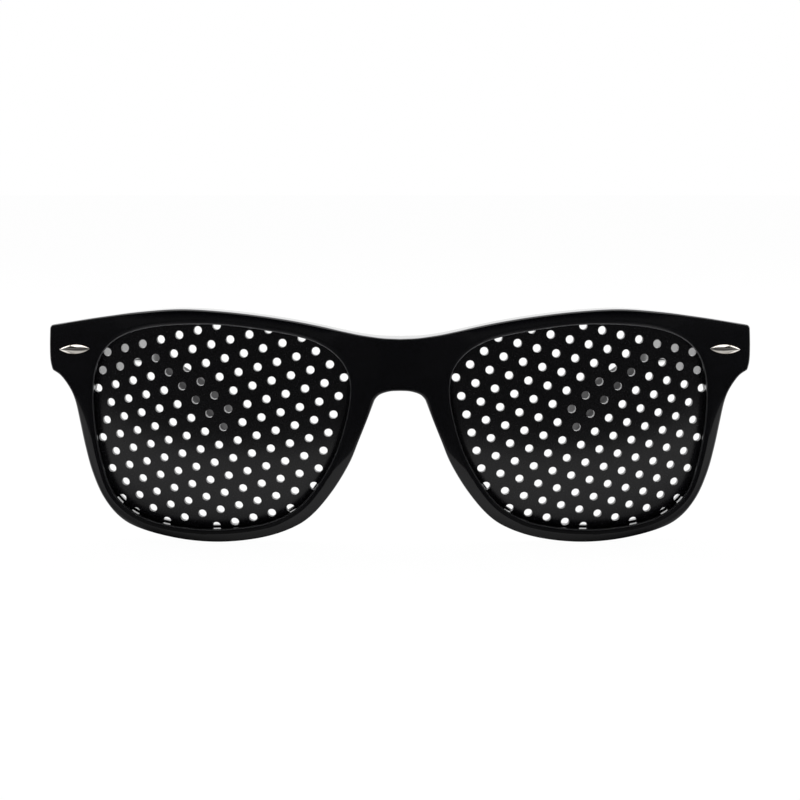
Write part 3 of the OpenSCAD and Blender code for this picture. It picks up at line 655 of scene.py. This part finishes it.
def perforated_lens():
    """Points of the outline, of each hole's ring and of a loose lattice between, joined into
    triangles in the drilling plane, then carried to the front and the back sphere."""
    rim = opening + across(opening) * SEAT
    rim = even(np.vstack([rim, rim[:1]]), SEAT_POINTS + 1)[:-1]
    rim = (rim - hole_mid) * [math.cos(HOLE_YAW), 1] + hole_mid
    turn = np.linspace(0, 2 * math.pi, HOLE_SIDES, endpoint=False)
    ring = np.stack([np.cos(turn), np.sin(turn)], -1)
    rings = (holes[:, None] + ring * (HOLE_D / 2 + HOLE_EDGE)).reshape(-1, 2)
    lattice = np.stack(np.meshgrid(np.arange(*LATTICE_X, LATTICE),
                                   np.arange(-LATTICE_Z, LATTICE_Z, LATTICE)), -1).reshape(-1, 2)
    lattice = lattice[clear_of_holes(lattice, LATTICE_CLEAR)
                      & inside(lattice, rim - across(rim) * LATTICE_IN)]
    flat = np.vstack([rim, rings, lattice])
    n = len(rim)
    first = n + np.arange(len(holes)) * HOLE_SIDES
    k = np.arange(HOLE_SIDES)
    loop = np.stack([first[:, None] + k, first[:, None] + (k + 1) % HOLE_SIDES], -1).reshape(-1, 2)
    edges = np.vstack([np.stack([np.arange(n), (np.arange(n) + 1) % n], -1), loop])
    made = delaunay_2d_cdt(flat.tolist(), edges.tolist(), [], 0, 1e-7)
    flat, tris = np.array([list(p) for p in made[0]]), np.array(made[2])
    middle = flat[tris].mean(1)
    tris = tris[clear_of_holes(middle, HOLE_EDGE) & inside(middle, rim)]
    a, b, d = (flat[tris[:, q]] for q in (0, 1, 2))
    backward = np.cross(b - a, d - a) <= 0
    tris[backward] = tris[backward][:, ::-1]
    total = len(flat)
    front_skin, back_skin = on_sphere(flat, LENS_R), on_sphere(flat, LENS_R - LENS_T)
    points, faces = [front_skin, back_skin], [tris, tris[:, ::-1] + total]
    wall = np.stack([np.arange(n), (np.arange(n) + 1) % n, (np.arange(n) + 1) % n + total,
                     np.arange(n) + total], -1)
    bore = (holes[:, None] + ring * HOLE_D / 2).reshape(-1, 2)
    points += [on_sphere(bore, LENS_R - HOLE_EDGE), on_sphere(bore, LENS_R - LENS_T + HOLE_EDGE)]
    m = len(bore)
    rows4 = [loop, loop - n + 2 * total, loop - n + 2 * total + m, loop + total]
    quads = [np.stack([p[:, 1], p[:, 0], q[:, 0], q[:, 1]], -1) for p, q in zip(rows4, rows4[1:])]
    return np.vstack(points), faces, [wall] + quads


lens_points, lens_tris, lens_quads = perforated_lens()
lens_faces = [f for part in lens_tris + lens_quads for f in part.tolist()]
lens_plastic = black_plastic("lens_plastic", (0.0068, 0.0065, 0.0082, 1),
                             (0.0104, 0.0101, 0.0122, 1), 0.24, 7.0, 0.008, 0.195)
SIDES = ((-1, "right"), (1, "left"))
for sign, name in SIDES:
    lens = new_piece(name + "_lens_shell", with_front(lens_points * [sign, 1, 1]), lens_faces,
                     weld=0, sharp=30)
    lens.data.materials.append(lens_plastic)
    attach(lens, "front")
    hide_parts(name + "_pinhole_lens")

# The temples
# Moulded arms of the same glossy plastic: full height at the hinge, a shoulder and a waist
# in the lower edge, then the ear bend, which drops and turns inward to a round tip.
TEMPLE_LEN, BEND_AT, TIP_DROP, WAIST_H, SHOULDER_H = 137.0, 96.0, 28.0, 6.8, 12.2
BOW_IN, TIP_SPREAD, TIP_T, TEMPLE_EDGE, MATE_GAP = 3.6, 100.8, 2.6, 0.7, 0.05
BEND_OUT, TIP_OUT = END_X - BOW_IN, TIP_SPREAD / 2
SPAN_STEPS, EASE_ROWS, MATE_EDGE, TIP_BULGE, TIP_TURNS = 9, 5, 0.2, 0.5, 7
# The edge's radius is EDGE_LEAST of the full one at the hinge and full further back, and
# never more than SLIM_MOST of the section's height
EDGE_LEAST, EDGE_OVER, SLIM_MOST = 0.35, 10, 0.45


def back_by(u):
    """How far back a place is: 0 at the hinge, 1 at the bend and 2 at the end."""
    return np.where(u < 1, u * BEND_AT, BEND_AT + (u - 1) * (TEMPLE_LEN - BEND_AT))


# Each row: a place on the top line and its drop, then a place on the lower line and its drop
slope_h = WAIST_H - SHOULDER_H
side_rows = np.array(
    [[0, 0, 0, TEMPLE_H], [0.14, 0, 0.14, TEMPLE_H + 0.45 * (SHOULDER_H - TEMPLE_H)],
     [0.3, 0, 0.3, SHOULDER_H], [0.47, 0, 0.47, SHOULDER_H],
     [0.57, 0, 0.57, SHOULDER_H + 0.35 * slope_h], [0.66, 0, 0.66, SHOULDER_H + 0.76 * slope_h],
     [0.77, 0, 0.76, WAIST_H], [0.92, TIP_DROP * 0.005, 0.88, WAIST_H],
     [1.05, TIP_DROP * 0.06, 0.97, WAIST_H]]
    + [[a, b * TIP_DROP, c, d * TIP_DROP] for a, b, c, d in (
        (1.22, 0.168, 1.122, 0.296), (1.378, 0.268, 1.268, 0.404), (1.55, 0.371, 1.415, 0.543),
        (1.695, 0.468, 1.561, 0.686), (1.812, 0.561, 1.683, 0.814), (1.902, 0.654, 1.785, 0.929),
        (1.971, 0.75, 1.859, 0.986), (1.995, 0.829, 1.912, 1), (1.99, 0.893, 1.956, 0.964))])
side_rows[:, [0, 2]] = back_by(side_rows[:, [0, 2]])
side_rows[:, [1, 3]] *= -1
# Seen from above: a place, its share of the way in to the tip, its share of the thinning
above = np.array([[0.7, -0.052, 0.1], [0.958, 0, 0.55], [1.073, 0.068, 0.55], [1.227, 0.214, 0.55],
                  [1.378, 0.385, 0.55], [1.549, 0.589, 0.55], [1.695, 0.75, 0.55],
                  [1.805, 0.859, 0.65], [1.9, 0.948, 0.9], [2, 1, 1]])
above = np.stack([back_by(above[:, 0]), BEND_OUT + (TIP_OUT - BEND_OUT) * above[:, 1],
                  TEMPLE_T + (TIP_T - TEMPLE_T) * above[:, 2]], -1)
above = np.vstack([[[0, END_X, TEMPLE_T]], curve(above, SPAN_STEPS)])


def section_ring():
    """Once round a section, as rows of (share from top to low, share from outer to inner face,
    turn): four quarter turns joined by four straight runs."""
    fan, run = np.linspace(0, math.pi / 2, 6), np.linspace(0, 1, 9)[1:-1]
    ring = []
    for k, (share, into) in enumerate(((0, 0), (0, 1), (1, 1), (1, 0))):
        nxt = ((0, 1), (1, 1), (1, 0), (0, 0))[k]
        ring += [(share, into, math.pi / 2 * k + a) for a in fan]
        ring += [(share + (nxt[0] - share) * t, into + (nxt[1] - into) * t, math.pi / 2 * (k + 1))
                 for t in run]
    return np.array(ring)


def temple_surface():
    """A loft of rounded oblongs that stand between the top and the lower line. A point lies at
    its corner's centre plus the corner's radius times (cos turn, sin turn). The first sections
    are drawn in for the eased end, and the last ones shrink onto the tip."""
    share, into, turn = section_ring().T
    rows = curve(side_rows, SPAN_STEPS)
    ease = np.linspace(0, math.pi / 2, EASE_ROWS)
    start = np.repeat(rows[:1], EASE_ROWS, 0)
    start[:, [0, 2]] = (MATE_GAP + MATE_EDGE * (1 - np.cos(ease)))[:, None]
    rows = np.vstack([start, rows[1:]])
    drawn_in = np.r_[MATE_EDGE * (1 - np.sin(ease)), np.zeros(len(rows) - EASE_ROWS)][:, None]
    top, low = rows[:, None, :2], rows[:, None, 2:]
    tall = np.hypot(*(low - top)[:, 0].T)[:, None]
    r = TEMPLE_EDGE * np.minimum(1, EDGE_LEAST + rows[:, :1] / EDGE_OVER)
    r = np.minimum(r, tall * SLIM_MOST)
    down = (r + share * (tall - 2 * r) - (r - drawn_in) * np.sin(turn)) / tall
    p = top + (low - top) * down[..., None]
    out, thick = (np.interp(p[..., 0], above[:, 0], above[:, k]) for k in (1, 2))
    x = out - r - into * (thick - 2 * r) + (r - drawn_in) * np.cos(turn)
    skin = np.concatenate([x[..., None], p], -1)
    middle = skin[-1].mean(0)
    ahead = middle - skin[-4].mean(0)
    ahead *= TIP_BULGE / np.hypot(*ahead[1:])
    a = np.linspace(0, math.pi / 2, TIP_TURNS)[1:, None, None]
    tip = middle + (skin[-1] - middle) * np.cos(a) + ahead * np.sin(a)
    return np.concatenate([skin, tip])


skin = temple_surface()
temple_points = skin.reshape(-1, 3)
temple_faces = ring_faces(len(skin), skin.shape[1], False).tolist() + [list(range(skin.shape[1]))]
# The beds in a temple's inner face that the leaf and its barrel's neck lie in
LEAF_L, LEAF_SHARE, LEAF_BEHIND = 11.0, 0.42, 1.2
BED_OPEN, NECK_PLAY, NECK_LAP = 2, 0.15, 0.5
EDGE_IN, LEAF_BACK = END_X - TEMPLE_T, HINGE_BACK + LEAF_BEHIND
leaf_low, leaf_high = -HINGE_DROP - KNUCKLES_H * LEAF_SHARE, -HINGE_DROP + KNUCKLES_H * LEAF_SHARE
bed_low, bed_high = EDGE_IN - BED_OPEN, EDGE_IN + LEAF_T + BED_PLAY
mid_z = low_z + END_BARREL_H + BARREL_GAP
leaf_bed = np.array([[bed_low, LEAF_BACK - SIDE_PLAY, leaf_low - SIDE_PLAY],
                     [bed_high, LEAF_BACK + LEAF_L + SIDE_PLAY, leaf_high + SIDE_PLAY]])
neck_bed = np.array([[bed_low, -NECK_LAP, mid_z - NECK_PLAY],
                     [bed_high, LEAF_BACK + NECK_LAP, mid_z + MIDDLE_BARREL_H + NECK_PLAY]])
for sign, name in SIDES:
    temple = new_piece(name + "_arm", with_temples(temple_points * [sign, 1, 1]), temple_faces)
    for bed in (leaf_bed, neck_bed):
        cut(temple, [box_points(*np.sort(bed * [sign, 1, 1], 0))])
    temple.data.materials.append(gloss_black)
    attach(temple, name + "_side")
    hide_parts(name + "_temple")

# The studs and the hinges
# Each end piece carries a pointed, plated stud with a sharp ridge along it. The hinges are
# nickelled steel, blanked and rolled, with a slotted screw through the three barrels.
STAIN_MM, SCRATCH_MM, SCRATCH_DEPTH, STAIN_ROUGH, SCRATCH_ROUGH = 0.9, 0.12, 0.01, 0.08, 0.06


def bright_metal(name, colour, stain, rough, scratch):
    """Plated metal: a warm bright colour, dulled in small clouds, with fine drawn scratches."""
    f = Finish(name, Metallic=1.0)
    cloud = f.ramp(f.noise(STAIN_MM, 4), 0.35, 0.75)
    lines = f.noise(SCRATCH_MM, 3, 0.6, (0.08, 1, 1))
    bump = f.node("ShaderNodeBump", {}, {"Strength": scratch, "Distance": SCRATCH_DEPTH * MM,
                                         "Height": lines})
    return f.feed(Base_Color=f.mix(cloud, colour, stain), Normal=bump,
                  Roughness=rough + cloud * STAIN_ROUGH + lines * SCRATCH_ROUGH)


trim = bright_metal("plated_trim", (0.97, 0.93, 0.88, 1), (0.90, 0.84, 0.76, 1), 0.05, 0.1)
steel = bright_metal("nickelled_steel", (0.66, 0.64, 0.60, 1), (0.52, 0.50, 0.46, 1), 0.22, 0.4)

STUD_L, STUD_H, STUD_RISE, STUD_SEAT, STUD_ROLL = 7.4, 2.0, 0.8, 0.4, math.radians(4.8)
STUD_STAND, STUD_DROP, RIDGE_SOFT, STUD_ALONG, STUD_ACROSS = 0.06, 0.15, 0.25, 61, 31
# The stud is riveted through the front leaf, so it stands at the hinge's height. Its height
# on the face depends on the face's depth there: a few rounds settle the two.
stud_x, stud_z = LEAF_X, END_TOP
for _ in range(4):
    depth = sphere(stud_x, stud_z, FACE_R)
    stud_z = (MATE_UP - HINGE_DROP - math.sin(TILT) * depth) / math.cos(TILT)


def turned(a, b, angle):
    """Two coordinates turned by an angle, from the first toward the second."""
    c, s = math.cos(angle), math.sin(angle)
    return a * c - b * s, a * s + b * c


def stud_surface():
    """Sections along a pointed oval, whose half height h is an arc's. Each is a low roof: with
    s from -1 to 1 across it, it rises by STUD_RISE * h * (1 - sqrt(s * s + RIDGE_SOFT)). The
    oval is turned by STUD_ROLL, so that it stands level on the tilted, wrapped face."""
    along = np.sin(np.linspace(-math.pi / 2, math.pi / 2, STUD_ALONG)) * STUD_L / 2
    arc = (STUD_L ** 2 + STUD_H ** 2) / (4 * STUD_H)
    half_h = np.sqrt(arc ** 2 - along ** 2) - arc + STUD_H / 2
    side = np.sin(np.linspace(-math.pi / 2, math.pi / 2, STUD_ACROSS))
    roof = 1 - np.sqrt(side ** 2 + RIDGE_SOFT)
    up = np.r_[-1, -1, side, 1, 1][None, :] * half_h[:, None]
    out = np.r_[0, 0, roof, 0, 0][None, :] * half_h[:, None] * STUD_RISE
    out[:, 0], out[:, -1] = -STUD_SEAT, -STUD_SEAT
    out[:, 1:-1] += STUD_STAND
    x = np.repeat(along[:, None], up.shape[1], 1)
    x, up = turned(x, up, -STUD_ROLL)
    pitch, yaw = math.asin(stud_z / FACE_R), math.asin((stud_x - SPHERE_X) / FACE_R)
    y, z = turned(-out, up - STUD_DROP, -pitch)
    x, y = turned(x, y, yaw)
    return np.stack([x + stud_x, y + sphere(stud_x, stud_z, FACE_R), z + stud_z], -1)


stud_skin = stud_surface()
for sign, name in SIDES:
    stud = new_piece(name + "_trim_stud", with_front(stud_skin * [sign, 1, 1]),
                     ring_faces(len(stud_skin), stud_skin.shape[1], False),
                     weld=2e-6, sharp=25)
    stud.data.materials.append(trim)
    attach(stud, "front")
    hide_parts(name + "_stud")
for _, name in SIDES:
    for node in ("front_leaf", "hinge_screw", "temple_leaf", "leaf_screws"):
        cad = frame["nodes"][name + "_" + node]
        cad.data.materials.clear()
        cad.data.materials.append(steel)

# The studio
# A white floor and white surroundings behind, as in a cut-out studio picture; toward the
# camera the room is dark, so the black plastic stays deep.
FLOOR_SIZE, FLOOR_DROP = 12, 0.0003
bpy.ops.mesh.primitive_plane_add(size=FLOOR_SIZE, location=(0, 0, -FLOOR_DROP))
floor = bpy.context.object
floor.name = "floor"
paper = Finish("white_paper", Base_Color=(0.9, 0.9, 0.9, 1), Roughness=0.9, Specular_IOR_Level=0.0)
# Pairs of a share of the way from PAPER_FROM to PAPER_TO, and how light the paper is there.
# Far aside the levels lie SIDE_SHIFT nearer to the camera. All are metres.
PAPER_FROM, PAPER_TO, SIDE_FROM, SIDE_TO, SIDE_SHIFT = -0.14, -0.06, 0.07, 0.17, 0.01
PAPER_LEVELS = ((0, 0.05), (0.35, 0.06), (0.56, 0.1), (0.58, 0.48), (0.74, 0.52), (0.8, 0.48),
                (0.83, 0.38), (0.86, 0.25), (0.88, 0.21), (0.91, 0.98), (1, 1))
# The shade under each rim: where it fades in and out, aside and toward the back
SHADE_IN, SHADE_OUT, SHADE_DEPTH = (0.017, 0.022), (0.058, 0.052), 0.85
SHADE_NEAR, SHADE_FAR = (-0.0715, -0.0695), (-0.058, -0.061)


def mirrored_light(f):
    """How light the paper is in a reflection: dark toward the camera, a lit band that ends
    sharply, then the glasses' own shade, which is deepest under the rims."""
    aside = f.node("ShaderNodeMath", {"operation": "ABSOLUTE"}, {0: f.part(f.place, "X")})
    ahead = f.part(f.place, "Y")
    shift = f.ramp(aside, SIDE_FROM, SIDE_TO, 0, SIDE_SHIFT)
    near = f.ramp(ahead + shift, PAPER_FROM, PAPER_TO)
    level = f.node("ShaderNodeFloatCurve", {}, {"Value": near})
    mapping = level.socket.node.mapping
    line = mapping.curves[0].points
    line[0].location, line[1].location = PAPER_LEVELS[0], PAPER_LEVELS[-1]
    for spot in PAPER_LEVELS[1:-1]:
        line.new(*spot)
    for spot in line:
        spot.handle_type = "VECTOR"
    mapping.update()
    under = (f.ramp(aside, *SHADE_IN) * f.ramp(aside, *SHADE_OUT)
             * f.ramp(ahead, *SHADE_NEAR) * f.ramp(ahead, *SHADE_FAR))
    return level * (1 - SHADE_DEPTH * under)


# The camera sees white paper, with a WHITE_REST share of its real light for the shadow
WHITE, WHITE_REST = 1.02, 0.04
glow = paper.node("ShaderNodeEmission", {}, {"Strength": mirrored_light(paper)})
white = paper.node("ShaderNodeEmission", {}, {"Strength": WHITE})
lit = Value(paper, paper.shader.outputs[0])
for ray, share, other in (("Is Glossy Ray", 1.0, glow), ("Is Camera Ray", 1 - WHITE_REST, white)):
    way = paper.node("ShaderNodeLightPath", out=ray)
    lit = paper.node("ShaderNodeMixShader", {}, {0: way * share, 1: lit, 2: other})
paper.tree.links.new(lit.socket, paper.tree.nodes["Material Output"].inputs["Surface"])
floor.data.materials.append(paper.material)

world = bpy.data.worlds.new("studio")
bpy.context.scene.world = world
world.use_nodes = True
sky = Nodes(world.node_tree)
way = sky.node("ShaderNodeTexCoord", out="Generated")
back, up = sky.part(way, "Y"), sky.part(way, "Z")
# Bright behind, dark above and toward the camera, with a faint light above the horizon
BEHIND, AHEAD, OVERHEAD, HAZE, HAZE_TOP = 1.8, 0.06, 0.02, 0.08, 0.1
room = (sky.ramp(back, -0.15, 0.6, AHEAD, BEHIND, "SMOOTHSTEP")
        * sky.ramp(up, 0.3, 0.7, 1.0, OVERHEAD, "SMOOTHSTEP")
        + sky.ramp(up, 0.15, 0.5, 0.0, HAZE) * sky.ramp(up, 0.5, 0.65, 1.0, HAZE_TOP))
seen = sky.node("ShaderNodeLightPath", out="Is Camera Ray")
shown = sky.node("ShaderNodeMix", {}, {0: seen, 2: room, 3: 1.0})
sky.tree.links.new(shown.socket, sky.tree.nodes["Background"].inputs["Strength"])
sky.tree.nodes["Background"].inputs["Color"].default_value = (1, 1, 1, 1)


def softbox(name, place, aim, size, power):
    """A rectangular soft lamp that points at aim."""
    light = bpy.data.lights.new(name, "AREA")
    light.shape, light.size, light.size_y, light.energy = "RECTANGLE", size[0], size[1], power
    lamp = bpy.data.objects.new(name, light)
    bpy.context.scene.collection.objects.link(lamp)
    way = Vector(aim) - Vector(place)
    lamp.location = place
    lamp.rotation_euler = way.to_track_quat("-Z", "Y").to_euler()


softbox("top_box", (0, 0.10, 0.75), (0, -0.02, 0.02), (1.44, 0.7), 5.4)
softbox("left_box", (-0.75, 0.35, 0.45), (0, -0.03, 0.02), (0.5, 0.6), 1.6)
softbox("right_box", (0.75, 0.35, 0.45), (0, -0.03, 0.02), (0.5, 0.6), 1.6)

# The camera
# Straight in front of the bridge, looking along the temples, about 350 mm from the rims.
CAMERA_BACK, CAMERA_DROP, FOCAL_PX, PICTURE_PX, SENSOR = 361.99, 16.70, 1700.7, 800, 36.0
lens_data = bpy.data.cameras.new("camera")
lens_data.sensor_width = SENSOR
lens_data.lens = SENSOR * FOCAL_PX / PICTURE_PX
lens_data.clip_start = 0.01
camera = bpy.data.objects.new("camera", lens_data)
bpy.context.scene.collection.objects.link(camera)
camera.location = with_temples([0, -CAMERA_BACK, -CAMERA_DROP])
camera.rotation_euler = (math.pi / 2 - LEAN, 0, 0)
bpy.context.scene.camera = camera
bpy.context.scene.view_settings.view_transform = "Standard"
